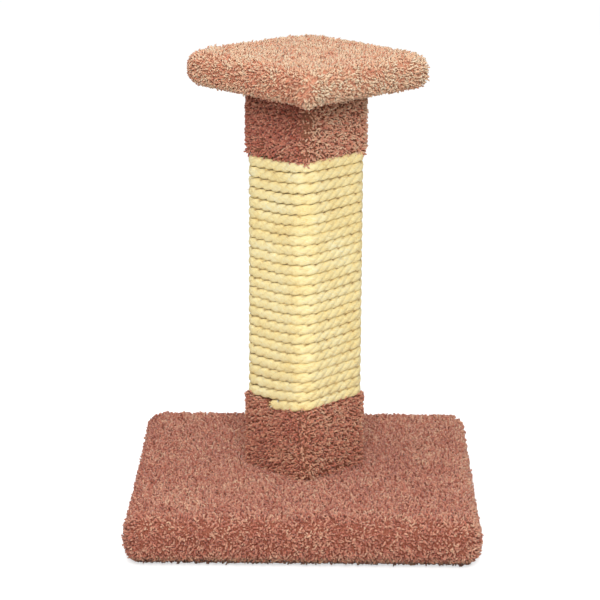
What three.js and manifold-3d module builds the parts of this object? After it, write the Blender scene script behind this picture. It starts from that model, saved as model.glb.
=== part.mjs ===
import * as THREE from "three";
import { mergeVertices } from "three/addons/utils/BufferGeometryUtils.js";
import Module from "manifold-3d";

const wasm = await Module();
wasm.setup();

// Cat scratching post: a carpeted square base, a timber post turned half a right angle to it,
// a winding of sisal rope between two carpet sleeves, and a small carpeted platform on top.
// Millimetres, +Z up. The floor is z = 0, the origin is under the middle of the base, -Y is the front.

// Clearances
const seatGap = 0.3; // between pieces that sit on or in each other
const ropeSeatGap = 0.5; // between the rope and the post
const ropeTurnGap = 0.6; // least space between one turn of the rope and the next
const seamGap = 0.6; // between the two edges of a sleeve where they butt

// Boards
const baseBoardSide = 406.4;
const baseBoardThickness = 38.1;
const baseBoardCornerRadius = 16;
const baseBoardEdgeRadius = 9.5; // rounded over, so that the carpet bends round it
const topBoardSide = 196.9;
const topBoardThickness = 19.1;
const topBoardCornerRadius = 7;
const topBoardEdgeRadius = 3.2;

// Post
const postSide = 88.9;
const postLength = 505;
const postCornerRadius = 6;
const postTurn = Math.PI / 4;

// Carpet
const carpetThickness = 12.5; // backing and pile
const backingThickness = 3;
const baseEdgeRadius = 28;
const topEdgeRadius = 19;
const foldUnder = 45; // how far it reaches in from a board's edge, underneath
const sleeveCornerRadius = 14;
const lowerSleeveHeight = 91;
const upperSleeveHeight = 79.4;

// Rope
const ropeDiameter = 12.2;
const ropeCornerThickness = 9.5; // pressed flat over the corners of the post

// Screws
const screwShankRadius = 2.5;
const screwHeadRadius = 5;
const screwTipLength = 6;
const screwHeadSink = 0.5; // below the board's face
const screwEdgeInset = 17; // from the post's faces
const baseScrewLength = 75;
const topScrewLength = 60;
const recessWidth = 1.2;
const recessLength = 5;
const recessDepth = 2.4;

// Staples
const stapleCrown = 6.4;
const stapleWire = 1.2;
const carpetStapleLeg = 16;
const ropeStapleLeg = 25;
const ropeStapleFromEnd = 9;
const stapleFromFold = 12; // from the folded-under carpet's inner edge
const sleeveStapleFromSeam = 8;
const sleeveStapleFromEdge = 18; // from a sleeve's top and bottom
const baseStaplesPerSide = 3;
const topStaplesPerSide = 2;

// Heights, from the floor up
const baseBoardBottom = carpetThickness + seatGap;
const baseBoardTop = baseBoardBottom + baseBoardThickness;
const baseTop = baseBoardTop + seatGap + carpetThickness;
const postFoot = baseBoardTop + seatGap;
const postHead = postFoot + postLength;
const topBoardBottom = postHead + seatGap;
const topBoardTop = topBoardBottom + topBoardThickness;
const platformBottom = topBoardBottom - seatGap - carpetThickness;
const lowerSleeveBottom = baseTop + seatGap;
const lowerSleeveTop = lowerSleeveBottom + lowerSleeveHeight;
const upperSleeveTop = platformBottom - seatGap;
const upperSleeveBottom = upperSleeveTop - upperSleeveHeight;

// Outer sides of what is wrapped
const wrap = 2 * (carpetThickness + seatGap);
const sleeveSide = postSide + wrap;

// Finishes
const carpet = new THREE.MeshStandardMaterial({ color: 0xa9705c, roughness: 0.95, metalness: 0 });
const sleeveCarpet = new THREE.MeshStandardMaterial({ color: 0x96584c, roughness: 0.95, metalness: 0 });
const sisal = new THREE.MeshStandardMaterial({ color: 0xe6cf93, roughness: 0.85, metalness: 0 });
const particleboard = new THREE.MeshStandardMaterial({ color: 0xb8935f, roughness: 0.8, metalness: 0 });
const softwood = new THREE.MeshStandardMaterial({ color: 0xd9b988, roughness: 0.75, metalness: 0 });
const steel = new THREE.MeshStandardMaterial({ color: 0xb6b8ba, roughness: 0.35, metalness: 1 });

// ---- Solids ----

// A closed geometry as a solid that can be cut.
function solid(geometry) {
  const bare = geometry.index ? geometry.toNonIndexed() : geometry.clone();
  bare.deleteAttribute("normal");
  bare.deleteAttribute("uv");
  const merged = mergeVertices(bare, 1e-4);
  return new wasm.Manifold(
    new wasm.Mesh({
      numProp: 3,
      vertProperties: merged.attributes.position.array,
      triVerts: new Uint32Array(merged.index.array),
    }),
  );
}

// A geometry with the other geometries cut out of it.
function cut(geometry, cutters) {
  let body = solid(geometry);
  for (const cutter of cutters) body = body.subtract(solid(cutter));
  const mesh = body.getMesh();
  const result = new THREE.BufferGeometry();
  result.setAttribute("position", new THREE.BufferAttribute(mesh.vertProperties, 3));
  result.setIndex(new THREE.BufferAttribute(mesh.triVerts, 1));
  result.computeVertexNormals();
  return result;
}

// A square outline about the origin with round corners.
function squareShape(side, radius, arcSegments = 5) {
  const middle = side / 2 - radius;
  const points = [];
  for (let corner = 0; corner < 4; corner++) {
    const start = (corner * Math.PI) / 2;
    const centreX = Math.sign(Math.cos(start + Math.PI / 4)) * middle;
    const centreY = Math.sign(Math.sin(start + Math.PI / 4)) * middle;
    for (let step = 0; step <= arcSegments; step++) {
      const angle = start + (step * Math.PI) / 2 / arcSegments;
      const x = centreX + radius * Math.cos(angle);
      const y = centreY + radius * Math.sin(angle);
      points.push(new THREE.Vector2(x, y));
    }
  }
  return new THREE.Shape(points);
}

// A square bar or board that stands on the given height.
function squareBar(side, radius, bottom, height) {
  const shape = squareShape(side, radius);
  return new THREE.ExtrudeGeometry(shape, { depth: height, bevelEnabled: false }).translate(0, 0, bottom);
}

// A square pad with its edges rounded above and below.
function roundedPad(side, cornerRadius, edgeRadius, bottom, height, edgeSegments) {
  const edge = Math.min(edgeRadius, 0.46 * height, cornerRadius - 0.5);
  const geometry = new THREE.ExtrudeGeometry(squareShape(side - 2 * edge, cornerRadius - edge), {
    depth: height - 2 * edge,
    bevelThickness: edge,
    bevelSize: edge,
    bevelSegments: edgeSegments,
  });
  return geometry.translate(0, 0, bottom + edge);
}

function box(sizeX, sizeY, low, high) {
  return new THREE.BoxGeometry(sizeX, sizeY, high - low).translate(0, 0, (low + high) / 2);
}

// ---- Fasteners ----

// A countersunk screw that points down from its head's face at z = 0. Grown, it is the hole for one.
function screwBlank(length, grow, mouth) {
  const headRadius = screwHeadRadius + grow;
  const shankRadius = screwShankRadius + grow;
  const profile = [new THREE.Vector2(0, -length - grow)];
  profile.push(new THREE.Vector2(shankRadius, -length + screwTipLength - grow));
  profile.push(new THREE.Vector2(shankRadius, -(headRadius - shankRadius) - grow));
  profile.push(new THREE.Vector2(headRadius, -grow));
  if (mouth > 0) profile.push(new THREE.Vector2(headRadius, mouth));
  profile.push(new THREE.Vector2(0, mouth));
  return new THREE.LatheGeometry(profile, 16).rotateX(Math.PI / 2);
}

function screw(length) {
  const bar = box(recessLength, recessWidth, -recessDepth, 1);
  return cut(screwBlank(length, 0, 0), [bar, bar.clone().rotateZ(Math.PI / 2)]);
}

// A staple whose crown lies along X on z = 0 and whose legs point down.
function staple(leg) {
  const half = stapleCrown / 2;
  const inner = half - stapleWire;
  const outline = new THREE.Shape();
  outline.moveTo(-half, -leg);
  outline.lineTo(-inner, -leg);
  outline.lineTo(-inner, 0);
  outline.lineTo(inner, 0);
  outline.lineTo(inner, -leg);
  outline.lineTo(half, -leg);
  outline.lineTo(half, stapleWire);
  outline.lineTo(-half, stapleWire);
  const geometry = new THREE.ExtrudeGeometry(outline, { depth: stapleWire, bevelEnabled: false });
  return geometry.translate(0, 0, -stapleWire / 2).rotateX(Math.PI / 2);
}

// What a staple needs free: a slot for each leg, and a pocket over the crown up to the given height.
function stapleHole(leg, pocket) {
  const slot = stapleWire + 2 * seatGap;
  const legX = (stapleCrown - stapleWire) / 2;
  const legs = [-legX, legX].map((x) => box(slot, slot, -leg - seatGap, pocket).translate(x, 0, 0));
  const crown = box(stapleCrown + 2 * seatGap, slot, -seatGap, pocket);
  return [...legs, crown];
}

// Where a fastener sits: its crown or head at a point, facing along out, its crown lying along the other.
function seat(point, out, along) {
  const across = new THREE.Vector3().crossVectors(out, along);
  return new THREE.Matrix4().makeBasis(along, across, out).setPosition(point);
}

const up = new THREE.Vector3(0, 0, 1);
const down = new THREE.Vector3(0, 0, -1);
const left = new THREE.Vector3(-1, 0, 0);
const right = new THREE.Vector3(1, 0, 0);

// The four places of the screws in the post's end grain.
const screwOffset = postSide / 2 - screwEdgeInset;
const screwPlaces = [];
for (const x of [-screwOffset, screwOffset]) {
  for (const y of [-screwOffset, screwOffset]) screwPlaces.push(new THREE.Vector2(x, y));
}
function screwSeats(height, out) {
  return screwPlaces.map((place) => seat(new THREE.Vector3(place.x, place.y, height), out, right));
}

function screwHoles(seats, length) {
  return seats.map((matrix) => screwBlank(length, seatGap, screwHeadSink + 1).applyMatrix4(matrix));
}

const baseScrewSeats = screwSeats(baseBoardBottom + screwHeadSink, down);
const topScrewSeats = screwSeats(topBoardTop - screwHeadSink, up);
const baseScrewHoles = screwHoles(baseScrewSeats, baseScrewLength);
const topScrewHoles = screwHoles(topScrewSeats, topScrewLength);

// Staple seats along the four sides of a board's folded-under carpet, crowns along the sides.
function foldStapleSeats(boardSide, backingFace, perSide) {
  const inner = boardSide / 2 - foldUnder;
  const fromMiddle = inner + stapleFromFold;
  const seats = [];
  for (let side = 0; side < 4; side++) {
    const turn = new THREE.Matrix4().makeRotationZ((side * Math.PI) / 2);
    for (let count = 0; count < perSide; count++) {
      const along = perSide === 1 ? 0 : inner * ((2 * count) / (perSide - 1) - 1);
      const place = new THREE.Vector3(along, -fromMiddle, backingFace);
      seats.push(turn.clone().multiply(seat(place, down, right)));
    }
  }
  return seats;
}

const carpetPocket = carpetThickness - backingThickness + 1;
const baseStapleSeats = foldStapleSeats(
  baseBoardSide,
  baseBoardBottom - seatGap - backingThickness,
  baseStaplesPerSide,
);
const topStapleSeats = foldStapleSeats(
  topBoardSide,
  topBoardBottom - seatGap - backingThickness,
  topStaplesPerSide,
);

// Staple seats on both sides of a sleeve's seam, on the +X face of the post.
function seamStapleSeats(bottom, top) {
  const backingFace = postSide / 2 + seatGap + backingThickness;
  const seats = [];
  for (const y of [-sleeveStapleFromSeam, sleeveStapleFromSeam]) {
    for (const z of [bottom + sleeveStapleFromEdge, top - sleeveStapleFromEdge]) {
      seats.push(seat(new THREE.Vector3(backingFace, y, z), right, up));
    }
  }
  return seats;
}

const lowerSeamSeats = seamStapleSeats(lowerSleeveBottom, lowerSleeveTop);
const upperSeamSeats = seamStapleSeats(upperSleeveBottom, upperSleeveTop);

function holesAt(seats, leg, pocket) {
  return seats.flatMap((matrix) => stapleHole(leg, pocket).map((hole) => hole.applyMatrix4(matrix)));
}

const baseStapleHoles = holesAt(baseStapleSeats, carpetStapleLeg, carpetPocket);
const topStapleHoles = holesAt(topStapleSeats, carpetStapleLeg, carpetPocket);
const lowerSeamHoles = holesAt(lowerSeamSeats, carpetStapleLeg, carpetPocket);
const upperSeamHoles = holesAt(upperSeamSeats, carpetStapleLeg, carpetPocket);

// ---- The rope's winding ----

// The middle of the rope runs round the post on a square with round corners, on which a rope of the
// corner's thickness touches the post.
const ropeRadius = ropeDiameter / 2;
const ropePathHalf = postSide / 2 + ropeSeatGap + ropeRadius;
const postDiagonal = (postSide / 2 - postCornerRadius) * Math.SQRT2 + postCornerRadius;
const ropeDiagonal = postDiagonal + ropeSeatGap + ropeCornerThickness / 2;
const ropeBendRadius = (ropePathHalf * Math.SQRT2 - ropeDiagonal) / (Math.SQRT2 - 1);
const ropeFlat = 2 * (ropePathHalf - ropeBendRadius);
const ropeArc = (ropeBendRadius * Math.PI) / 2;
const ropeSide = ropeFlat + ropeArc;
const ropeLoop = 4 * ropeSide;

// Rows lie level and climb to the next row along one side's length. The first climb is on the front
// left side, where the rope starts, and each one begins a little sooner than the one below it, so
// that the last is on the rear left side.
const windingHeight = upperSleeveBottom - lowerSleeveTop - 2 * seatGap;
const ropeRows = Math.floor((windingHeight + ropeTurnGap) / (ropeDiameter + ropeTurnGap));
const ropePitch = (windingHeight - ropeDiameter) / (ropeRows - 1);
const firstRowHeight = lowerSleeveTop + seatGap + ropeRadius;
const climbSpacing = ropeLoop - ropeSide / (ropeRows - 1);

// The height of the rope's middle at a distance along the winding, from the left corner.
function ropeHeight(distance) {
  const begun = Math.min(Math.floor(distance / climbSpacing), ropeRows - 1);
  const climbed = Math.min((distance - begun * climbSpacing) / ropeSide, 1);
  return firstRowHeight + ropePitch * (begun - 1 + climbed);
}

// How far a point outside the post is from it, in plan.
function distanceToPost(x, y) {
  const core = postSide / 2 - postCornerRadius;
  const beyondX = Math.max(Math.abs(x) - core, 0);
  const beyondY = Math.max(Math.abs(y) - core, 0);
  return Math.hypot(beyondX, beyondY) - postCornerRadius;
}

// A place on the -X side, which runs from the corner at -X +Y towards -Y, and the way out from there.
function onFirstSide(distance) {
  const arcCentre = ropePathHalf - ropeBendRadius;
  const pastArc = distance - ropeArc / 2;
  const alongFlat = Math.min(Math.max(pastArc, 0), ropeFlat);
  const angle = Math.PI + (pastArc - alongFlat) / ropeBendRadius;
  const x = -arcCentre + ropeBendRadius * Math.cos(angle);
  const y = arcCentre - alongFlat + ropeBendRadius * Math.sin(angle);
  return { x, y, angle };
}

// The stations of one side as distances from its first corner: half an arc, the flat, half an arc.
const halfArcSteps = 2;
const halfFlatSteps = 1;
const sideStations = [];
for (let step = 0; step < halfArcSteps; step++) {
  sideStations.push((step * ropeArc) / 2 / halfArcSteps);
}
for (let step = 0; step < 2 * halfFlatSteps; step++) {
  sideStations.push(ropeArc / 2 + (step * ropeFlat) / 2 / halfFlatSteps);
}
for (let step = 0; step < halfArcSteps; step++) {
  sideStations.push(ropeArc / 2 + ropeFlat + (step * ropeArc) / 2 / halfArcSteps);
}

// The rope starts halfway along the front left side, half a row below the first, and ends halfway
// along the back right side, at the head of the last row.
const midSide = sideStations.length / 2;
const lastSide = 4 * (ropeRows - 1) + 2;
const ropeStations = [];
for (let index = midSide; index <= lastSide * sideStations.length + midSide; index++) {
  const side = Math.floor(index / sideStations.length);
  const distance = sideStations[index % sideStations.length];
  const place = onFirstSide(distance);
  const turn = (side * Math.PI) / 2;
  ropeStations.push({
    x: place.x * Math.cos(turn) - place.y * Math.sin(turn),
    y: place.x * Math.sin(turn) + place.y * Math.cos(turn),
    z: ropeHeight(side * ropeSide + distance),
    angle: place.angle + turn,
    thickness: distanceToPost(place.x, place.y) - ropeSeatGap,
  });
}

// The rope's section at a station: a hexagon with a corner facing out.
const sectionCorners = 6;
function ropeSection(station) {
  const points = [];
  for (let corner = 0; corner < sectionCorners; corner++) {
    const angle = (corner * 2 * Math.PI) / sectionCorners;
    const out = station.thickness * Math.cos(angle);
    const rise = (ropeRadius * Math.sin(angle)) / Math.sin(Math.PI / 3);
    const x = station.x + out * Math.cos(station.angle);
    const y = station.y + out * Math.sin(station.angle);
    points.push(new THREE.Vector3(x, y, station.z + rise));
  }
  return points;
}

function ropeGeometry() {
  const positions = [];
  const indices = [];
  for (const station of ropeStations) {
    for (const point of ropeSection(station)) positions.push(point.x, point.y, point.z);
  }
  for (let ring = 0; ring + 1 < ropeStations.length; ring++) {
    for (let corner = 0; corner < sectionCorners; corner++) {
      const a = ring * sectionCorners + corner;
      const b = ring * sectionCorners + ((corner + 1) % sectionCorners);
      indices.push(a, a + sectionCorners, b);
      indices.push(b, a + sectionCorners, b + sectionCorners);
    }
  }
  const last = (ropeStations.length - 1) * sectionCorners;
  for (let corner = 1; corner + 1 < sectionCorners; corner++) {
    indices.push(0, corner, corner + 1);
    indices.push(last, last + corner + 1, last + corner);
  }
  const geometry = new THREE.BufferGeometry();
  geometry.setAttribute("position", new THREE.Float32BufferAttribute(positions, 3));
  geometry.setIndex(indices);
  return geometry;
}

// The least distance between one turn and the next, on points along their facing edges.
function leastTurnGap() {
  const samplesPerStep = 8;
  const tops = [];
  const bottoms = [];
  for (let index = 0; index + 1 < ropeStations.length; index++) {
    const here = ropeSection(ropeStations[index]);
    const next = ropeSection(ropeStations[index + 1]);
    for (let sample = 0; sample < samplesPerStep; sample++) {
      const share = sample / samplesPerStep;
      tops.push([1, 2].map((corner) => here[corner].clone().lerp(next[corner], share)));
      bottoms.push([4, 5].map((corner) => here[corner].clone().lerp(next[corner], share)));
    }
  }
  const loop = 4 * sideStations.length * samplesPerStep;
  const reach = 2 * samplesPerStep;
  let least = Infinity;
  for (let index = 0; index + loop - reach < bottoms.length; index++) {
    const lastOther = Math.min(index + loop + reach, bottoms.length - 1);
    for (let other = index + loop - reach; other <= lastOther; other++) {
      for (const top of tops[index]) {
        for (const bottom of bottoms[other]) least = Math.min(least, top.distanceTo(bottom));
      }
    }
  }
  return least;
}

const ropeLength = ((ropeStations.length - 1) / sideStations.length) * ropeSide;
console.log(`rope: ${ropeRows} rows, ${Math.round(ropeLength)} mm long`);
console.log(`rope: least gap between turns ${leastTurnGap().toFixed(2)} mm`);

// A staple over each end of the rope, its crown across the rope and sunk into it.
const ropeStapleOut = ropePathHalf + ropeRadius / 2;
const startStapleHeight = ropeHeight(ropeSide / 2 + ropeStapleFromEnd);
const endStapleHeight = firstRowHeight + ropePitch * (ropeRows - 1);
const ropeStapleSeats = [
  seat(new THREE.Vector3(-ropeStapleOut, -ropeStapleFromEnd, startStapleHeight), left, up),
  seat(new THREE.Vector3(ropeStapleOut, -ropeStapleFromEnd, endStapleHeight), right, up),
];
const ropeStapleHoles = holesAt(ropeStapleSeats, ropeStapleLeg, ropeDiameter);

// The wedge that the lower sleeve leaves free, where the rope's start dips below the first row.
function ropeStartNotch() {
  const outline = new THREE.Shape();
  outline.moveTo(seatGap, ropePitch);
  outline.lineTo(seatGap, -ropePitch / 2);
  outline.lineTo(-ropePathHalf, 0);
  outline.lineTo(-ropePathHalf, ropePitch);
  const depth = sleeveSide / 2;
  const geometry = new THREE.ExtrudeGeometry(outline, { depth, bevelEnabled: false });
  geometry.rotateX(Math.PI / 2).rotateZ(Math.PI / 2);
  return geometry.translate(-sleeveSide / 2 - depth / 2, 0, lowerSleeveTop);
}

// ---- Pieces ----

function piece(name, geometry, material, matrix) {
  const mesh = new THREE.Mesh(geometry, material);
  mesh.name = name;
  if (matrix) matrix.decompose(mesh.position, mesh.quaternion, mesh.scale);
  return mesh;
}

function addAll(group, name, geometry, material, seats) {
  seats.forEach((matrix, index) => group.add(piece(name + "_" + (index + 1), geometry, material, matrix)));
}

const boardEdgeSegments = 3;
const carpetEdgeSegments = 6;

const baseBoard = {
  side: baseBoardSide,
  corner: baseBoardCornerRadius,
  edge: baseBoardEdgeRadius,
  bottom: baseBoardBottom,
  thickness: baseBoardThickness,
};
const topBoard = {
  side: topBoardSide,
  corner: topBoardCornerRadius,
  edge: topBoardEdgeRadius,
  bottom: topBoardBottom,
  thickness: topBoardThickness,
};

// A board, or grown by a clearance, the space for one.
function boardBlank({ side, corner, edge, bottom, thickness }, grow) {
  const height = thickness + 2 * grow;
  return roundedPad(side + 2 * grow, corner + grow, edge + grow, bottom - grow, height, boardEdgeSegments);
}

// A carpet wrapped over a board and folded under it, bare in the middle of the underside.
function wrappedCarpet(board, edgeRadius, holes) {
  const side = board.side + wrap;
  const corner = board.corner + wrap / 2;
  const bottom = board.bottom - seatGap - carpetThickness;
  const height = board.thickness + wrap;
  const outer = roundedPad(side, corner, edgeRadius, bottom, height, carpetEdgeSegments);
  const opening = board.side - 2 * foldUnder;
  const underside = box(opening, opening, bottom - 1, board.bottom + 1);
  return cut(outer, [boardBlank(board, seatGap), underside, ...holes]);
}

function baseCarpet() {
  const postHole = box(postSide + 2 * seatGap, postSide + 2 * seatGap, baseBoardTop, baseTop + 1);
  return wrappedCarpet(baseBoard, baseEdgeRadius, [postHole.rotateZ(postTurn), ...baseStapleHoles]);
}

function post() {
  const bar = squareBar(postSide, postCornerRadius, postFoot, postLength);
  const stapleHoles = [...lowerSeamHoles, ...upperSeamHoles, ...ropeStapleHoles];
  return cut(bar, [...baseScrewHoles, ...topScrewHoles, ...stapleHoles]);
}

// A carpet strip wrapped round the post, its edges butted on the +X face.
function sleeve(bottom, height, holes) {
  const outer = squareBar(sleeveSide, sleeveCornerRadius, bottom, height);
  const bore = squareBar(postSide + 2 * seatGap, postCornerRadius + seatGap, bottom - 1, height + 2);
  const seam = box(sleeveSide, seamGap, bottom - 1, bottom + height + 1).translate(sleeveSide / 2, 0, 0);
  return cut(outer, [bore, seam, ...holes]);
}

const base = new THREE.Group();
const turnedScrewHoles = baseScrewHoles.map((geometry) => geometry.clone().rotateZ(postTurn));
const baseBoardHoles = [...turnedScrewHoles, ...baseStapleHoles];
base.add(piece("base_board", cut(boardBlank(baseBoard, 0), baseBoardHoles), particleboard));
base.add(piece("base_carpet", baseCarpet(), carpet));
addAll(base, "base_staple", staple(carpetStapleLeg), steel, baseStapleSeats);

const column = new THREE.Group();
column.rotation.z = postTurn;
column.add(piece("post", post(), softwood));
const lowerHoles = [...lowerSeamHoles, ropeStartNotch()];
const lowerSleeve = sleeve(lowerSleeveBottom, lowerSleeveHeight, lowerHoles);
column.add(piece("lower_sleeve", lowerSleeve, sleeveCarpet));
const upperSleeve = sleeve(upperSleeveBottom, upperSleeveHeight, upperSeamHoles);
column.add(piece("upper_sleeve", upperSleeve, sleeveCarpet));
column.add(piece("sisal_rope", cut(ropeGeometry(), ropeStapleHoles), sisal));
const topBoardHoles = [...topScrewHoles, ...topStapleHoles];
column.add(piece("top_board", cut(boardBlank(topBoard, 0), topBoardHoles), particleboard));
column.add(piece("top_carpet", wrappedCarpet(topBoard, topEdgeRadius, topStapleHoles), carpet));
addAll(column, "base_screw", screw(baseScrewLength), steel, baseScrewSeats);
addAll(column, "top_screw", screw(topScrewLength), steel, topScrewSeats);
addAll(column, "lower_sleeve_staple", staple(carpetStapleLeg), steel, lowerSeamSeats);
addAll(column, "upper_sleeve_staple", staple(carpetStapleLeg), steel, upperSeamSeats);
addAll(column, "rope_staple", staple(ropeStapleLeg), steel, ropeStapleSeats);
addAll(column, "top_staple", staple(carpetStapleLeg), steel, topStapleSeats);

const scratchingPost = new THREE.Group();
scratchingPost.add(base, column);

export default scratchingPost;
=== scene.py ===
import math
import random

import bmesh
import bpy
from mathutils import Matrix, Vector


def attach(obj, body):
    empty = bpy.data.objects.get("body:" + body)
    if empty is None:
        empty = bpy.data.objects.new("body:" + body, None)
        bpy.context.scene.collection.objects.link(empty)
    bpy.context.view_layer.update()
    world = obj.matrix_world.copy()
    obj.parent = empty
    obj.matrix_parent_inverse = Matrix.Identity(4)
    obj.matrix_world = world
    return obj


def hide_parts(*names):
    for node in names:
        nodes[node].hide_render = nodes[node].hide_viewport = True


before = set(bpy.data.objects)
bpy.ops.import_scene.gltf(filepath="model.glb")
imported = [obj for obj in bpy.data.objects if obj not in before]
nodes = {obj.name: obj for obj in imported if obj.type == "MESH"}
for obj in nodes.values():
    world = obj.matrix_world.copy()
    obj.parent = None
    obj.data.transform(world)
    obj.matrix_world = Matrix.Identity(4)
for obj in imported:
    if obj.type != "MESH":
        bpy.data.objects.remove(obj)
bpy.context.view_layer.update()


# ---- Base board ----
# A square of 38 mm particleboard, its edges rounded over so that the carpet bends round them.
# Wood chips and glue, pressed. It shows in the middle of the underside, inside the folded carpet.

def colour(red, green, blue):
    """A colour written as on a paint chart, 0 to 255, as Blender's linear values."""
    parts = []
    for value in (red, green, blue):
        share = value / 255
        parts.append(share / 12.92 if share <= 0.04045 else ((share + 0.055) / 1.055) ** 2.4)
    return (*parts, 1.0)


def shades(*chart):
    return [colour(*entry) for entry in chart]


class Flow:
    """What comes out of a node. Its sums and products are Math or Vector Math nodes of their own."""

    def __init__(self, made, key=0):
        shown = [socket for socket in made.outputs if socket.enabled]
        self.made = made
        self.tree = made.id_data
        self.socket = shown[key] if isinstance(key, int) else next(s for s in shown if s.name == key)
        self.in_space = self.socket.type in ("VECTOR", "RGBA")

    def then(self, operation, *values):
        """Another operation on this, with one more value or none."""
        kind = "ShaderNodeVectorMath" if self.in_space else "ShaderNodeMath"
        places = (0, 3) if operation == "SCALE" else (0, 1)
        return Flow(put(self.tree, kind, dict(zip(places, (self, *values))), operation=operation))

    def after(self, operation, first):
        """An operation on a number and this."""
        return Flow(put(self.tree, "ShaderNodeMath", {0: first, 1: self}, operation=operation))

    def __add__(self, other):
        return self.then("ADD", other)

    def __sub__(self, other):
        return self.then("SUBTRACT", other)

    def __mul__(self, other):
        return self.then("SCALE" if self.in_space else "MULTIPLY", other)

    def __truediv__(self, other):
        return self.then("DIVIDE", other)

    def __pow__(self, other):
        return self.then("POWER", other)

    def __rsub__(self, other):
        return self.after("SUBTRACT", other)

    def __rtruediv__(self, other):
        return self.after("DIVIDE", other)


def put(tree, kind, inputs=None, **settings):
    """Adds a node. Inputs are keyed by identifier or number, and are values or flows."""
    made = tree.nodes.new(kind)
    for name, value in settings.items():
        setattr(made, name, value)
    for key, value in (inputs or {}).items():
        if isinstance(key, int):
            socket = made.inputs[key]
        else:
            socket = next(s for s in made.inputs if s.identifier == key)
        if isinstance(value, Flow):
            tree.links.new(value.socket, socket)
        else:
            socket.default_value = value
    return made


def feed(shader, name, flow):
    shader.id_data.links.new(flow.socket, shader.inputs[name])


def split(place):
    """The three parts of a place."""
    made = put(place.tree, "ShaderNodeSeparateXYZ", {0: place})
    return [Flow(made, index) for index in range(3)]


def joined(tree, x=0.0, y=0.0, z=0.0):
    return Flow(put(tree, "ShaderNodeCombineXYZ", {0: x, 1: y, 2: z}))


def ramp(factor, places, colours):
    """A colour ramp."""
    made = put(factor.tree, "ShaderNodeValToRGB", {0: factor})
    made.color_ramp.interpolation = "EASE"
    elements = made.color_ramp.elements
    while len(elements) < len(places):
        elements.new(0.5)
    for element, place, value in zip(elements, places, colours):
        element.position = place
        element.color = value
    return Flow(made)


def blend(factor, first, second, kind="MIX"):
    """Mixes two colours."""
    return Flow(put(first.tree, "ShaderNodeMix", {"Factor_Float": factor, "A_Color": first,
                                                  "B_Color": second}, data_type="RGBA", blend_type=kind))


def emptied(owner):
    """The node tree of a material or world, with nothing in it."""
    owner.use_nodes = True
    owner.node_tree.nodes.clear()
    return owner.node_tree


def surface(name, roughness, **constants):
    """A material with one Principled shader, whose plain values are set on its own sockets."""
    made = bpy.data.materials.new(name)
    tree = emptied(made)
    shader = tree.nodes.new("ShaderNodeBsdfPrincipled")
    shader.inputs["Roughness"].default_value = roughness
    for key, value in constants.items():
        shader.inputs[key.replace("_", " ")].default_value = value
    put(tree, "ShaderNodeOutputMaterial", {"Surface": Flow(shader)})
    return made, tree, shader


def object_place(tree, scale=(1, 1, 1), rotation=(0, 0, 0), location=(0, 0, 0)):
    """Object coordinates, turned and scaled."""
    place = Flow(tree.nodes.new("ShaderNodeTexCoord"), "Object")
    return Flow(put(tree, "ShaderNodeMapping", {"Vector": place, "Location": location,
                                                "Rotation": rotation, "Scale": scale}))


def noise(place, size, detail=2.0, roughness=0.5):
    """Noise from 0 to 1 with features about that many metres across."""
    return Flow(put(place.tree, "ShaderNodeTexNoise", {"Vector": place, "Scale": 1 / size,
                                                       "Detail": detail, "Roughness": roughness}))


def bump(shader, height, distance, strength=1.0):
    made = put(shader.id_data, "ShaderNodeBump", {"Height": height, "Distance": distance,
                                                  "Strength": strength})
    feed(shader, "Normal", Flow(made))


def chips(place, size):
    """The random shade of each pressed chip, and how far into the chip a point is."""
    cells = put(place.tree, "ShaderNodeTexVoronoi", {"Vector": place, "Scale": 1 / size})
    shade = put(place.tree, "ShaderNodeSeparateColor", {0: Flow(cells, "Color")})
    return Flow(shade), Flow(cells, "Distance")


particleboard, tree, shader = surface("particleboard", 0.85)
wobble = Flow(noise(object_place(tree), 1 / 220).made, "Color")
warped = object_place(tree, (1, 1.8, 1)) + wobble * 0.004
large_shade, large_depth = chips(warped, 0.0055)
small_shade, small_depth = chips(warped, 0.0019)
mixed = large_shade * 0.65 + small_shade * 0.35
feed(shader, "Base Color", ramp(mixed, (0.15, 0.35, 0.55, 0.75, 0.92), shades(
    (128, 92, 58), (173, 133, 88), (196, 157, 108), (214, 178, 130), (150, 108, 66))))
bump(shader, large_depth + small_depth, 0.0004, 0.6)


def dress(names, material):
    """Gives CAD nodes their finished material."""
    for name in names:
        for material_slot in nodes[name].material_slots:
            material_slot.material = material


dress(["base_board"], particleboard)


# ---- Base carpet ----
# Cut-pile carpet, 3 mm of woven backing and 9.5 mm of twisted yarn, stretched over the board's top
# and sides, folded 45 mm under it and stapled. Its yarns are heathered rose, tan and maroon. The
# shell stands for the backing and the dense lower 5 mm of the pile.

pile_height = 0.0095
dense_height = 0.005
board_clearance = 0.0003
face_inset = pile_height - dense_height
seed_inset = 0.0026
seed_depth = pile_height - seed_inset
post_half = 0.04445
post_turn = math.pi / 4


def within(share):
    """A share, kept from 0 to 1."""
    return min(max(share, 0.0), 1.0)


def level(place, height):
    return Vector((place.x, place.y, height))


def square_outline(half, corner, count, corner_steps):
    """Points of a square with round corners, with the way out at each, anticlockwise from the
    middle of the +X side. Each side has that even count of steps."""
    straight = half - corner
    steps = [2 * straight * index / count for index in range(count)]
    side = [(Vector((half, -straight + step, 0)), Vector((1, 0, 0))) for step in steps[count // 2:]]
    for index in range(corner_steps):
        angle = math.pi / 2 * index / corner_steps
        way = Vector((math.cos(angle), math.sin(angle), 0))
        side.append((Vector((straight, straight, 0)) + corner * way, way))
    side += [(Vector((straight - step, half, 0)), Vector((0, 1, 0))) for step in steps[:count // 2]]
    places = []
    for quarter in range(4):
        turn = Matrix.Rotation(quarter * math.pi / 2, 3, "Z")
        places += [(turn @ point, turn @ way) for point, way in side]
    return places


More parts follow.
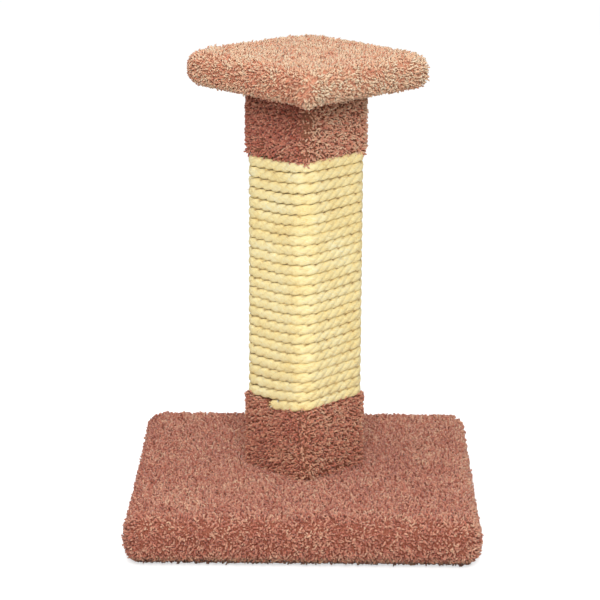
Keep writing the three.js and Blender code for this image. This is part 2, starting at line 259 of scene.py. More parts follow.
def square_reach(half, turn, point):
    """The point of a square's outline that lies in the same direction as another point."""
    angle = math.atan2(point.y, point.x)
    local = angle - turn
    reach = half / max(abs(math.cos(local)), abs(math.sin(local)))
    return Vector((reach * math.cos(angle), reach * math.sin(angle), 0))


def wrapped_rings(shape, inset, fold_half, hole, steps, turn):
    """Rings of a carpet's face wrapped over a board, that far inside a shape of (half width, corner,
    edge, bottom, top): from its edge under the board, round the sides, to the middle of the top or
    to the post's hole. The steps are those along a side of the square, up a side and across the top."""
    half, corner, edge = (size - inset for size in shape[:3])
    bottom, top = shape[3] + inset, shape[4] - inset
    side_count, side_steps, rings_across = steps
    corner_steps, arc_steps, fold_steps = 8, 9, 6
    outline = square_outline(half, corner, side_count, corner_steps)
    arc = []
    for index in range(arc_steps + 1):
        angle = math.pi / 2 * index / arc_steps
        arc.append((edge * (1 - math.cos(angle)), edge * (1 - math.sin(angle))))
    profile = [(reach, bottom + height) for reach, height in reversed(arc)]
    for index in range(1, side_steps):
        profile.append((0.0, bottom + edge + (top - bottom - 2 * edge) * index / side_steps))
    profile += [(reach, top - height) for reach, height in arc]
    rings = []
    first = [place - way * profile[0][0] for place, way in outline]
    for index in range(fold_steps):
        share = index / fold_steps
        rings.append([level(square_reach(fold_half, 0, place).lerp(place, share), bottom)
                      for place in first])
    for reach, height in profile:
        rings.append([level(place - way * reach, height) for place, way in outline])
    last = [level(place, 0) for place in rings[-1]]
    flat_count = rings_across if hole else rings_across - 1
    for index in range(1, flat_count + 1):
        ring = []
        for place in last:
            target = square_reach(hole, post_turn, place) if hole else Vector((0, 0, 0))
            ring.append(level(place.lerp(target, index / rings_across), top))
        rings.append(ring)
    swing = Matrix.Rotation(turn, 3, "Z")
    return [[swing @ place for place in ring] for ring in rings]


def placed(name, data):
    """Puts a mesh, lamp or camera in the scene, at the origin."""
    made = bpy.data.objects.new(name, data)
    bpy.context.collection.objects.link(made)
    return made


def mesh_object(name, vertices, faces, edges=()):
    mesh = bpy.data.meshes.new(name)
    mesh.from_pydata(vertices, edges, faces)
    mesh.validate()
    mesh.shade_smooth()
    return placed(name, mesh)


def mark(made, name, values, kind="FLOAT"):
    """Stores a value on each vertex of a mesh."""
    data = made.data.attributes.new(name, kind, "POINT").data
    if kind == "FLOAT":
        data.foreach_set("value", values)
    else:
        data.foreach_set("vector", [number for value in values for number in value])


def loft(rings, capped):
    """Quads between closed rings of as many points each, and a cap over the last one."""
    faces = []
    count = len(rings[0])
    if capped:
        last = (len(rings) - 1) * count
        faces.append(tuple(range(last, last + count)))
    for row in range(len(rings) - 1):
        for index in range(count):
            after = (index + 1) % count
            a, b = row * count, (row + 1) * count
            faces.append((a + index, a + after, b + after, b + index))
    return faces


def clean(made, joined_under=0.00002):
    """Merges doubles and points every face outwards."""
    shape = bmesh.new()
    shape.from_mesh(made.data)
    bmesh.ops.remove_doubles(shape, verts=shape.verts, dist=joined_under)
    bmesh.ops.dissolve_degenerate(shape, edges=shape.edges, dist=joined_under)
    bmesh.ops.recalc_face_normals(shape, faces=shape.faces)
    shape.to_mesh(made.data)
    shape.free()
    return made


def closed_shell(name, outer, inner, faces, material):
    """A closed shell between a carpet's face and its underside, walled in along their rims."""
    size = len(outer)
    sides = {side for face in faces for side in zip(face, face[1:] + face[:1])}
    walls = [(b, a, a + size, b + size) for a, b in sorted(sides) if (b, a) not in sides]
    under = [tuple(size + index for index in reversed(face)) for face in faces]
    made = clean(mesh_object(name, [*outer, *inner], [*faces, *under, *walls]))
    made.data.materials.append(material)
    return made


def rooted(name, places, faces, character):
    """A face for yarns to grow from. character(point) gives (sway, cover, rise, loose): the way they
    are pushed, the share that is left, how long and how ruffled they are."""
    made = mesh_object(name, places, faces)
    given = [character(vertex.co) for vertex in made.data.vertices]
    for number, key in enumerate(("sway", "cover", "rise", "loose")):
        mark(made, key, [values[number] for values in given], "FLOAT" if number else "FLOAT_VECTOR")
    return made


def spindle(name, spine, widths, sides, twist):
    """A yarn or fibre: a closed tube along a spine, that ends in a point. Its attributes say how far
    along and which way round each point is."""
    vertices, faces, along, around = [], [], [], []
    whole = sum((b - a).length for a, b in zip(spine, spine[1:]))
    gone = 0.0
    for index, centre in enumerate(spine):
        if index:
            gone += (centre - spine[index - 1]).length
        ahead = spine[min(index + 1, len(spine) - 1)] - spine[max(index - 1, 0)]
        frame_turn = ahead.to_track_quat("Z", "X")
        if index == len(spine) - 1:
            vertices.append(centre)
            along.append(1.0)
            around.append((0.0, 0.0, gone))
            continue
        for side in range(sides):
            angle = 2 * math.pi * side / sides + twist * gone / whole
            point = Vector((math.cos(angle) * widths[index], math.sin(angle) * widths[index], 0))
            vertices.append(centre + frame_turn @ point)
            along.append(gone / whole)
            around.append((math.cos(angle), math.sin(angle), gone))
    tip = len(vertices) - 1
    last = tip - sides
    for side in range(sides):
        after = (side + 1) % sides
        for a in range(0, last, sides):
            faces.append((a + side, a + after, a + sides + after, a + sides + side))
        faces.append((last + side, last + after, tip))
    faces.append(tuple(reversed(range(sides))))
    made = mesh_object(name, vertices, faces)
    mark(made, "along", along)
    mark(made, "lay", around, "FLOAT_VECTOR")
    return made


def shelf(name, pieces):
    """A collection of shapes for Geometry Nodes to pick from, which isn't in the scene itself."""
    kept = bpy.data.collections.new(name)
    for piece in pieces:
        kept.objects.link(piece)
        bpy.context.collection.objects.unlink(piece)
    return kept


def yarn_shapes():
    """Fourteen cut yarns. Each stands up from the backing, then curls over its own way near the tip,
    where it is fullest."""
    draw = random.Random(7)
    steps = 40
    yarn_radius = 0.001
    made = []
    for number in range(14):
        fall = math.radians(draw.uniform(25, 100))
        swing = math.radians(draw.uniform(-60, 60))
        path = [Vector((0, 0, 0))]
        for step in range(steps):
            share = (step + 0.5) / steps
            tilt = fall * share ** 1.7
            azimuth = swing * share
            path.append(path[-1] + Vector((math.sin(tilt) * math.cos(azimuth),
                                           math.sin(tilt) * math.sin(azimuth), math.cos(tilt))))
        tall = max(point.z for point in path)
        grown = pile_height * draw.uniform(0.93, 1.03) / tall
        spine = [path[round(share * steps)] * grown for share in (0.0, 0.55, 0.85, 1.0)]
        thick = draw.uniform(0.92, 1.1) * yarn_radius
        widths = [0.8 * thick, 1.05 * thick, 1.2 * thick]
        made.append(spindle("yarn_%02d" % number, spine, widths, 3, draw.uniform(0.5, 2.0)))
    return shelf("yarns", made)


yarns = yarn_shapes()


def node_group(name, kind, inputs, outputs):
    """A new node group, what comes in by each named input, and the inputs' identifiers."""
    made = bpy.data.node_groups.new(name, kind)
    identifiers = {}
    for title, socket in inputs.items():
        added = made.interface.new_socket(title, in_out="INPUT", socket_type="NodeSocket" + socket)
        identifiers[title] = added.identifier
    for title, socket in outputs.items():
        made.interface.new_socket(title, in_out="OUTPUT", socket_type="NodeSocket" + socket)
    entry = made.nodes.new("NodeGroupInput")
    return made, {title: Flow(entry, title) for title in inputs}, identifiers


def reworked(geometry, kind, inputs=None, **settings):
    """Geometry after one more geometry node."""
    return Flow(put(geometry.tree, "GeometryNode" + kind, {"Geometry": geometry, **(inputs or {})},
                    **settings))


def store(geometry, name, value, kind="FLOAT"):
    """Stores a value on every point under a name."""
    return reworked(geometry, "StoreNamedAttribute", {"Name": name, "Value": value},
                    data_type=kind, domain="POINT")


def stored(tree, name, kind="FLOAT"):
    """Reads what was stored under a name."""
    return Flow(put(tree, "GeometryNodeInputNamedAttribute", {"Name": name}, data_type=kind), "Attribute")


def coated(geometry, material):
    """Ends a tree with a plain mesh in its material."""
    whole = reworked(geometry, "RealizeInstances")
    put(geometry.tree, "NodeGroupOutput", {0: reworked(whole, "SetMaterial", {"Material": material})})


def growth_tree():
    """Grows yarns or fibres from a surface: scattered evenly, leaning with the nap, each one picked,
    turned and sized at random."""
    made, given, identifiers = node_group("growth", "GeometryNodeTree", {
        "Geometry": "Geometry", "Shapes": "Collection", "Spacing": "Float", "Shuffle": "Float",
        "Nap": "Float", "Nap Size": "Float", "Clumping": "Float", "Clump Size": "Float",
        "Length Spread": "Float", "Depth": "Float", "Floor": "Float", "Part A": "Vector",
        "Part B": "Vector", "Seed": "Int", "Material": "Material"}, {"Geometry": "Geometry"})

    def draw(low, high, offset, kind="FLOAT"):
        number = {"FLOAT": "_001", "INT": "_002", "FLOAT_VECTOR": ""}[kind]
        return Flow(put(made, "FunctionNodeRandomValue",
                        {"Min" + number: low, "Max" + number: high, "Seed": given["Seed"] + float(offset)},
                        data_type=kind))

    scatter = put(made, "GeometryNodeDistributePointsOnFaces",
                  {"Mesh": given["Geometry"], "Distance Min": given["Spacing"],
                   "Density Max": 2.6 / given["Spacing"] ** 2.0, "Density Factor": stored(made, "cover"),
                   "Seed": given["Seed"]}, distribute_method="POISSON")
    place = Flow(made.nodes.new("GeometryNodeInputPosition"))
    middle = (0.5, 0.5, 0.5)
    wave = noise(place, given["Nap Size"])
    clump = noise(place, given["Clump Size"], 1.0)
    ruffled = given["Clumping"] * stored(made, "loose")
    drift = (Flow(wave.made, "Color") - middle) * (given["Nap"] * 4.0)
    bunching = (Flow(clump.made, "Color") - middle) * (ruffled * 2.0)
    chance = draw((-1, -1, -1), (1, 1, 1), 1, "FLOAT_VECTOR") * given["Shuffle"]
    push = drift + bunching + chance + stored(made, "sway", "FLOAT_VECTOR")
    normal = Flow(scatter, "Normal")
    points = reworked(Flow(scatter, "Points"), "SetPosition", {"Offset": normal * (given["Depth"] * -1.0)})
    marked = store(points, "way", normal + push, "FLOAT_VECTOR")
    marked = store(marked, "tuft", draw(0.0, 1.0, 2))
    marked = store(marked, "clump", clump)
    behind_a, behind_b = (place.then("DOT_PRODUCT", given[part]).then("LESS_THAN", 0.0)
                          for part in ("Part A", "Part B"))
    kept = reworked(marked, "DeleteGeometry", {"Selection": behind_a.then("MAXIMUM", behind_b)},
                    domain="POINT")
    upright = put(made, "FunctionNodeAlignRotationToVector",
                  {"Vector": stored(made, "way", "FLOAT_VECTOR")}, axis="Z")
    spin = put(made, "FunctionNodeAxisAngleToRotation",
               {"Axis": (0, 0, 1), "Angle": draw(0.0, 2 * math.pi, 3)})
    turned = put(made, "FunctionNodeRotateRotation",
                 {"Rotation": Flow(upright), "Rotate By": Flow(spin)}, rotation_space="LOCAL")
    width = draw(0.88, 1.14, 4)
    spread = given["Length Spread"]
    tall = draw(1.0 - spread, spread + 1.0, 5) * stored(made, "rise")
    tall = tall * ((stored(made, "clump") - 0.5) * ruffled + 1.0)
    shapes = put(made, "GeometryNodeCollectionInfo", {"Collection": given["Shapes"],
                                                      "Separate Children": True, "Reset Children": True})
    grown = put(made, "GeometryNodeInstanceOnPoints",
                {"Points": kept, "Instance": Flow(shapes), "Pick Instance": True,
                 "Instance Index": draw(0, 1000, 6, "INT"), "Rotation": Flow(turned),
                 "Scale": joined(made, width, width, tall)})
    whole = reworked(Flow(grown), "RealizeInstances")
    under_floor = (given["Floor"] - split(place)[2]).then("MAXIMUM", 0.0)
    coated(reworked(whole, "SetPosition", {"Offset": joined(made, z=under_floor)}), given["Material"])
    return made, identifiers


def finished(name, worker, tree, identifiers, values):
    """What a tree of Geometry Nodes makes of an object, as a plain mesh of its own."""
    modifier = worker.modifiers.new("nodes", "NODES")
    modifier.node_group = tree
    for key, value in values.items():
        modifier[identifiers[key]] = value
    depsgraph = bpy.context.evaluated_depsgraph_get()
    mesh = bpy.data.meshes.new_from_object(worker.evaluated_get(depsgraph), preserve_all_data_layers=True,
                                           depsgraph=depsgraph)
    mesh.name = name
    worker.modifiers.clear()
    return placed(name, mesh)


growth = growth_tree()


def grow(name, roots, shapes, material, **values):
    """Grows shapes from a surface into a piece of its own."""
    settings = {"Shapes": shapes, "Spacing": 0.0019, "Shuffle": 0.2, "Nap": 0.2, "Nap Size": 0.022,
                "Clumping": 0.0, "Clump Size": 0.007, "Length Spread": 0.04, "Depth": 0.0, "Floor": -1.0,
                "Part A": (0, 0, 0), "Part B": (0, 0, 0), "Seed": 1, "Material": material}
    settings.update({key.replace("_", " "): value for key, value in values.items()})
    return finished(name, roots, *growth, settings)


def fibre_group():
    """Fibres twisted into a yarn or strand: fine streaks that wind along it, and the grooves
    between its plies. Lay is (cosine, sine, distance along) of a point on the yarn."""
    made, given, _ = node_group("twisted fibres", "ShaderNodeTree", {
        "Lay": "Vector", "Twist": "Float", "Fineness": "Float", "Stretch": "Float", "Plies": "Float"},
        {"Streak": "Float", "Groove": "Float"})
    gone = split(given["Lay"])[2]
    wound = put(made, "ShaderNodeVectorRotate", {"Vector": given["Lay"], "Angle": gone * given["Twist"]},
                rotation_type="Z_AXIS")
    across, up, _ = split(Flow(wound))
    streak_place = joined(made, across * given["Fineness"], up * given["Fineness"], gone * given["Stretch"])
    groove = (up.then("ARCTAN2", across) * given["Plies"]).then("COSINE") * 0.5 + 0.5
    put(made, "NodeGroupOutput", {0: noise(streak_place, 1.0, 3.0, 0.65), 1: groove})
    return made


fibres = fibre_group()


def attribute(tree, name, key="Fac"):
    return Flow(put(tree, "ShaderNodeAttribute", attribute_name=name, attribute_type="GEOMETRY"), key)


def twisted(tree, *turns):
    """The streaks and grooves of a yarn or strand, for its twist, fineness, stretch and plies."""
    made = put(tree, "ShaderNodeGroup", dict(enumerate((attribute(tree, "lay", "Vector"), *turns))),
               node_tree=fibres)
    return Flow(made, "Streak"), Flow(made, "Groove")


def pile_material(name, painted_nap_shading, yarn_shades):
    """Heathered nylon yarn: each tuft has its own shade, in soft patches. Each yarn is darker at the
    root, painted shade deep in the pile, and darker and olive near the floor, painted shade where the
    carpet's lower rim meets the floor. The shades go from the darkest yarn to the palest. Yarn that
    stands the way of the nap shading vector is painted paler than yarn that stands the other way:
    painted light and shade off the laid pile."""
    made, tree, shader = surface(name, 0.9, Specular_IOR_Level=0.25, Sheen_Weight=0.25, Sheen_Roughness=0.5)
    streak, groove = twisted(tree, 1100.0, 1.6, 260.0, 2.0)
    place = object_place(tree)
    # Painted light and shade: yarn leaning along the nap shading vector is painted paler, so the faces it
    # points to look lit and the others look shaded.
    pick = attribute(tree, "way", "Vector").then("DOT_PRODUCT", painted_nap_shading)
    pick = pick + attribute(tree, "tuft") * 0.62 + noise(place, 0.045, 3.0, 0.6) * 0.5
    # The clump value is partly each clump's own tone and partly a painted highlight, because the taller
    # clumps are made paler.
    pick = pick + attribute(tree, "clump") * 0.3 + noise(place, 0.009, 2.0) * 0.28
    yarn = ramp(pick - 0.35, (0.08, 0.3, 0.5, 0.7, 0.9), yarn_shades)
    # Multiplied in: darker towards the root, painted shade deep in the pile; fibre streaks; darker and
    # olive below about 17 mm, painted shade where the carpet's lower rim meets the floor.
    for mask in (
            ramp(attribute(tree, "along"), (0.0, 0.35, 0.65, 1.0), (
                (0.66, 0.42, 0.36, 1), (0.84, 0.70, 0.66, 1), (0.98, 0.95, 0.94, 1), (1, 1, 1, 1))),
            ramp(streak, (0.3, 0.7), ((0.72, 0.68, 0.66, 1), (1.06, 1.04, 1.02, 1))),
            ramp(split(place)[2] / 0.02, (0.34, 0.52, 0.85), (
                (0.36, 0.38, 0.32, 1), (0.84, 0.9, 0.82, 1), (1, 1, 1, 1)))):
        yarn = blend(1.0, yarn, mask, "MULTIPLY")
    feed(shader, "Base Color", yarn)
    bump(shader, groove * 0.8 + streak, 0.0003, 0.7)
    return made


def backing_material(name, *chart):
    """The dense lower part of the pile and the woven backing it is stitched through, in three
    shades from the darkest to the palest. They are darker than the yarn above them: painted shade
    deep in the pile."""
    made, tree, shader = surface(name, 0.95, Specular_IOR_Level=0.2)
    place = object_place(tree)
    rows = []
    for part, spacing in zip(split(place), (0.003, 0.0026, 0.003)):
        rows.append((part * (2 * math.pi / spacing)).then("SINE"))
    weave = rows[0].then("MAXIMUM", rows[1]).then("MAXIMUM", rows[2])
    mixed = weave * 0.12 + noise(place, 0.0016, 3.0, 0.7)
    feed(shader, "Base Color", ramp(mixed, (0.3, 0.55, 0.8), shades(*chart)))
    bump(shader, mixed, 0.0006, 0.8)
    return made


def carry(slot, node, *pieces):
    """Makes pieces ride with the part and stand for one of its CAD solids."""
    for piece in pieces:
        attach(piece, "root")
        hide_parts(node)


def forget(made):
    """Removes a surface that only served to grow yarns from."""
    bpy.data.objects.remove(made, do_unlink=True)


def wrapped_carpet(name, node, shape, board, board_shape, laid, reshape, character, backing_finish,
                   pile_finish, parts, cut, **growing):
    """A carpet over a board: its backing, and its pile in some parts, each between two planes. Laid
    gives the fold's reach, the post's hole, the steps and the turn. Cut, the carpet's flat width and
    that of the square cut out of each corner, is not used."""
    capped = not laid[1]
    face, seeds = ([[reshape(place) for place in ring] for ring in wrapped_rings(shape, inset, *laid)]
                   for inset in (face_inset, seed_inset))
    under = wrapped_rings(board_shape, -board_clearance, *laid)
    backing = closed_shell(name + "_backing", *([place for ring in rings for place in ring]
                                                for rings in (face, under)),
                           loft(face, capped), backing_finish)
    roots = rooted(name + "_roots", [place for ring in seeds for place in ring], loft(seeds, capped),
                   character)
    piles = []
    for number, (part_a, part_b) in enumerate(parts, 1):
        piles.append(grow("%s_pile_%d" % (name, number), roots, yarns, pile_finish, Depth=seed_depth,
                          Part_A=part_a, Part_B=part_b, **growing))
    forget(roots)
    carry("carpet", node, *piles, backing)


base_half = 0.2160
base_edge = 0.0280
base_height = 0.0637
pressed, swollen, lifted = 0.003, -0.0008, 0.0036


def base_bunched(point):
    """The carpet's sides pressed in, more than its corners, where it bunches as it is folded, and
    its lower rim lifted off the floor."""
    out = max(abs(point.x), abs(point.y))
    at_side = within((out - base_half + base_edge) / base_edge)
    at_corner = within((min(abs(point.x), abs(point.y)) / base_half - 0.72) / 0.2)
    push = 1 + at_side * (swollen * at_corner - pressed * (1 - at_corner)) / base_half
    at_rim = within((out - base_half + 1.3 * base_edge) / (0.9 * base_edge))
    low = max(0.0, 1 - point.z / base_edge)
    return Vector((point.x * push, point.y * push, point.z + lifted * at_rim * low))


def base_character(point):
    out = max(abs(point.x), abs(point.y))
    corner = min(abs(point.x), abs(point.y)) / base_half
    low = 1 - point.z / base_height
    rise = 0.98
    if point.z < seed_inset + 0.001:
        return Vector((0, 0, 0)), 0.5, 0.8, 0.5
    if out > base_half - base_edge:
        rise += 0.2 * max(0.0, (corner - 0.86) / 0.14) * low
    past_edge = within((out - base_half + base_edge) / (0.6 * base_edge))
    return Vector((0, 0, -0.12 * past_edge)), 1.0, rise, 0.4 + 0.6 * past_edge


base_parts = []
for number in range(6):
    start, end = (2 * math.pi * turn / 6 for turn in (number, number + 1))
    base_parts.append(((-math.sin(start), math.cos(start), 0), (math.sin(end), -math.cos(end), 0)))
wrapped_carpet(
    "base", "base_carpet", (base_half, 0.026, base_edge - 0.002, 0.0, base_height),
    "base_board", (0.2032, 0.0160, 0.0095, 0.0128, 0.0509),
    (0.1582, post_half + board_clearance, (48, 3, 14), 0), base_bunched, base_character,
    backing_material("carpet_backing", (112, 58, 44), (148, 86, 68), (188, 124, 100)),
    pile_material("carpet_pile", (0.12, 0, 0), shades(
        (184, 104, 84), (204, 126, 104), (220, 148, 124), (234, 174, 146), (246, 202, 170))),
    base_parts, (0.576, 0.084), Clumping=0.7, Floor=0.0003, Seed=11)


# ---- Base staples and screws ----
# Zinc-plated steel. Three staples a side hold the fold under the board, and four countersunk
# screws go up through the board into the post's foot.

steel, tree, shader = surface("zinc_steel", 0.38, Metallic=1.0)
worn = noise(object_place(tree), 0.0008, 3.0, 0.6)
feed(shader, "Base Color", ramp(worn, (0.3, 0.7), shades((146, 148, 150), (204, 206, 208))))
feed(shader, "Roughness", worn * 0.3 + 0.22)
bump(shader, noise(object_place(tree), 0.0003, 2.0), 0.00004, 0.5)
dress([name for name in nodes if "staple" in name or "screw" in name], steel)


# ---- Post ----
# A square softwood post, 89 mm thick with eased corners, turned a half right angle to the base.
# Its growth rings run up it; the ends show them as arcs.

pine, tree, shader = surface("pine", 0.6)
turned_place = object_place(tree, (1, 1, 0.06), (0, 0, -post_turn), (0.021, 0.064, 0))
rings = put(tree, "ShaderNodeTexWave", {"Vector": turned_place, "Scale": 38.0, "Distortion": 1.6,
                                        "Detail": 2.0, "Detail Scale": 1.2},
            wave_type="RINGS", rings_direction="Z", wave_profile="SAW")
grain = noise(object_place(tree, (1, 1, 0.03)), 0.0009, 3.0, 0.6)
feed(shader, "Base Color", ramp(Flow(rings, 1) + grain * 0.4, (0.15, 0.8, 1.15), shades(
    (232, 204, 158), (218, 182, 128), (178, 130, 78))))
bump(shader, grain, 0.0002, 0.5)
dress(["post"], pine)


# ---- Lower sleeve ----
# A strip of the same carpet, 91 mm wide, wrapped round the foot of the post and butted on its back
# right face, with two pairs of staples. A wedge is left out of its edge for the rope's start.

sleeve_corner = 0.014
sleeve_half = 0.05725
sleeve_rows = 24
seam_half = 0.0003
lower_sleeve_low, lower_sleeve_high = 0.0640, 0.1550
front_corner = 0.0478


def from_post(point):
    """A place written square to the post, in the part's own frame."""
    return Matrix.Rotation(post_turn, 3, "Z") @ point


def to_post(point):
    return Matrix.Rotation(-post_turn, 3, "Z") @ point


def sleeve_places(half, corner, low, top_edge):
    """A grid of places round the post, from one side of the seam to the other and from a sleeve's
    lower edge to its upper one."""
    outline = [place for place, way in square_outline(half, corner, 22, 6)]
    columns = [Vector((half, seam_half, 0)), *outline[1:], Vector((half, -seam_half, 0))]
    places = []
    for row in range(sleeve_rows + 1):
        for place in columns:
            height = low + (top_edge(place) - low) * row / sleeve_rows
            places.append(from_post(level(place, height)))
    return places


def grown_sleeve(name, low, top_edge, character, painted_nap_shading, yarn_shades, seed):
    """A sleeve's backing, as a closed strip, and its pile."""
    face, seeds = (sleeve_places(sleeve_half - inset, sleeve_corner - inset, low, top_edge)
                   for inset in (face_inset, seed_inset))
    across = len(face) // (sleeve_rows + 1)
    faces = []
    for row in range(sleeve_rows):
        for a in range(row * across, (row + 1) * across - 1):
            faces.append((a, a + 1, a + 1 + across, a + across))
    under = sleeve_places(post_half + board_clearance, 0.0063, low, top_edge)
    backing = closed_shell(name + "_backing", face, under, faces, sleeve_backing_in_shade)

    def standing(point):
        pushed, share = character(to_post(point))
        return from_post(pushed), share, 0.98 - 0.2 * (1 - share), 1.0

    roots = rooted(name + "_roots", seeds, faces, standing)
    pile = grow(name + "_pile", roots, yarns, pile_material(name + "_pile", painted_nap_shading, yarn_shades),
                Spacing=0.0018, Clumping=0.15, Depth=seed_depth, Seed=seed)
    forget(roots)
    carry("carpet", name, pile, backing)


# Darker and more olive than the other backings: painted shade in the gaps of the sleeves' pile and where
# the upper sleeve's pile parts at the front corner.
sleeve_backing_in_shade = backing_material("sleeve_backing_in_shade", (94, 61, 43), (134, 87, 66), (180, 118, 95))

rope_radius = 0.0062
rope_path_half = 0.05105
rope_bend_radius = 0.0158
rope_flat = 2 * (rope_path_half - rope_bend_radius)
rope_arc = rope_bend_radius * math.pi / 2
rope_side = rope_flat + rope_arc
rope_rows = 25
rope_first_row = 0.1616
rope_pitch = 0.01242
rope_start = 0.49


def eased(share):
    return share * share * (3 - 2 * share)


def climb(sides, first, last):
    """How much of a smooth climb is done, between two places counted in the post's sides."""
    return eased(within((sides - first) / (last - first)))


def rope_height(sides):
    """The height of the rope's middle, that many of the post's sides on from its left corner. The
    first rows climb over the rope's start. Those above climb a step at the front corner, a little
    more on the front right face and the rest behind, and the last rows lie level in front."""
    height = rope_first_row - rope_pitch
    for row in range(rope_rows):
        here = sides - 4 * row
        settled = min(row / 5, 1.0)
        topmost = max((row - 19) / 5, 0.0)
        at_corner = 0.42 * settled
        at_right = 0.26 * settled * (1 - topmost)
        over_start = 1 - settled
        behind = 1 - at_corner - at_right - over_start
        height += rope_pitch * (over_start * climb(here, 0.2, 1.36) + at_corner * climb(here, 0.5, 1.2)
                                + at_right * climb(here, 1.15, 2.1) + behind * climb(here, -2.2, 0.6))
    return height


def lower_sleeve_edge(place):
    """The sleeve's upper edge, lower under the rope's start on the front left face."""
    if place.x > 0 or abs(place.y) > abs(place.x) + 0.001 and place.y > 0:
        return lower_sleeve_high
    if place.x < -0.04:
        sides = (rope_path_half - place.y) / (2 * rope_path_half)
    else:
        sides = 1 + (place.x + rope_path_half) / (2 * rope_path_half)
    if sides < rope_start - 0.07:
        return lower_sleeve_high
    return min(lower_sleeve_high, rope_height(sides) - rope_radius - 0.0006)


def wound_nap(place, amount):
    """The carpet's nap lies round the post, clockwise from above."""
    if abs(place.x) > abs(place.y):
        return Vector((0, -math.copysign(amount, place.x), 0))
    return Vector((math.copysign(amount, place.y), 0, 0))


def gathered(place, amount):
    """How the yarns near a corner of the post lean together over it, instead of opening up."""
    across = Vector((math.copysign(1, place.x), math.copysign(1, place.y), 0)).normalized()
    beside = Vector((-across.y, across.x, 0))
    aside = place.dot(beside)
    near = max(0.0, 1 - abs(aside) / 0.013)
    return beside * (-math.copysign(1, aside) * amount * min(1.0, abs(aside) / 0.003) * near)


def near_front(place, reach):
    """How near a place is to the post's front corner."""
    return max(0.0, 1 - math.hypot(place.x + front_corner, place.y + front_corner) / reach)


def lower_sleeve_character(place):
    lift = -0.3 * max(0.0, 1 - (place.z - lower_sleeve_low) / 0.012)
    front = near_front(place, 0.018)
    way = gathered(place, 0.15) + wound_nap(place, 0.15) + Vector((0, 0, lift + 0.3 * front))
    return way, 1.0 - 0.25 * front


grown_sleeve("lower_sleeve", lower_sleeve_low, lower_sleeve_edge,
             lower_sleeve_character, (0.06, 0, 0), shades(
                 (196, 111, 88), (213, 132, 106), (228, 153, 124), (240, 179, 146), (248, 205, 170)), 23)


# ---- Sisal rope ----
# Three strands of sisal laid right-handed into a 12 mm rope, 25 rows wound tight round the post. It
# starts in the lower sleeve's edge on the front left face, and is stapled there and at its end.

rope_corner_thickness = 0.0095
rope_lay = 0.045
strand_radius = 0.0043
strand_offset = 0.0019


def rope_route():
    """Places along the rope's middle, with the way out from the post, the distance gone and how
    much the rope is flattened."""
    draw = random.Random(31)
    places, ways, gone, flattening = [], [], [], []
    last_side = 4 * (rope_rows - 1) + 2.5
    step, waver_steps, waver_height = 0.002, 20, 0.0003
    count = round((last_side - rope_start) * rope_side / step)
    waver = [draw.uniform(-1, 1) for _ in range(count // waver_steps + 3)]
    arc_centre = rope_path_half - rope_bend_radius
    for index in range(count + 1):
        sides = rope_start + (last_side - rope_start) * index / count
        side = math.floor(sides)
        past_arc = (sides - side) * rope_side - rope_arc / 2
        along_flat = min(max(past_arc, 0.0), rope_flat)
        bend = (past_arc - along_flat) / rope_bend_radius
        angle = math.pi + bend
        way = Vector((math.cos(angle), math.sin(angle), 0))
        local = Vector((-arc_centre + rope_bend_radius * math.cos(angle),
                        arc_centre - along_flat + rope_bend_radius * math.sin(angle), 0))
        turn = Matrix.Rotation(side * math.pi / 2 + post_turn, 3, "Z")
        low, high = waver[index // waver_steps:][:2]
        share = eased(index / waver_steps - index // waver_steps)
        places.append(level(turn @ local, rope_height(sides) + waver_height * (low + (high - low) * share)))
        ways.append(turn @ way)
        gone.append(sides * rope_side)
        cornerness = eased(abs(bend) / (math.pi / 4))
        flattening.append(1 - (1 - rope_corner_thickness / (2 * rope_radius)) * cornerness)
    return places, ways, gone, flattening


rope_places, rope_ways, rope_gone, rope_flattening = rope_route()
route = mesh_object("rope_route", rope_places, [], [(i, i + 1) for i in range(len(rope_places) - 1)])
mark(route, "out", rope_ways, "FLOAT_VECTOR")
mark(route, "middle", rope_places, "FLOAT_VECTOR")
mark(route, "gone", rope_gone)
mark(route, "flattening", rope_flattening)


def between(value, start, end):
    """How far a value is on its way from a start to an end."""
    return Flow(put(value.tree, "ShaderNodeMapRange", {"Value": value, "From Min": start, "From Max": end}))


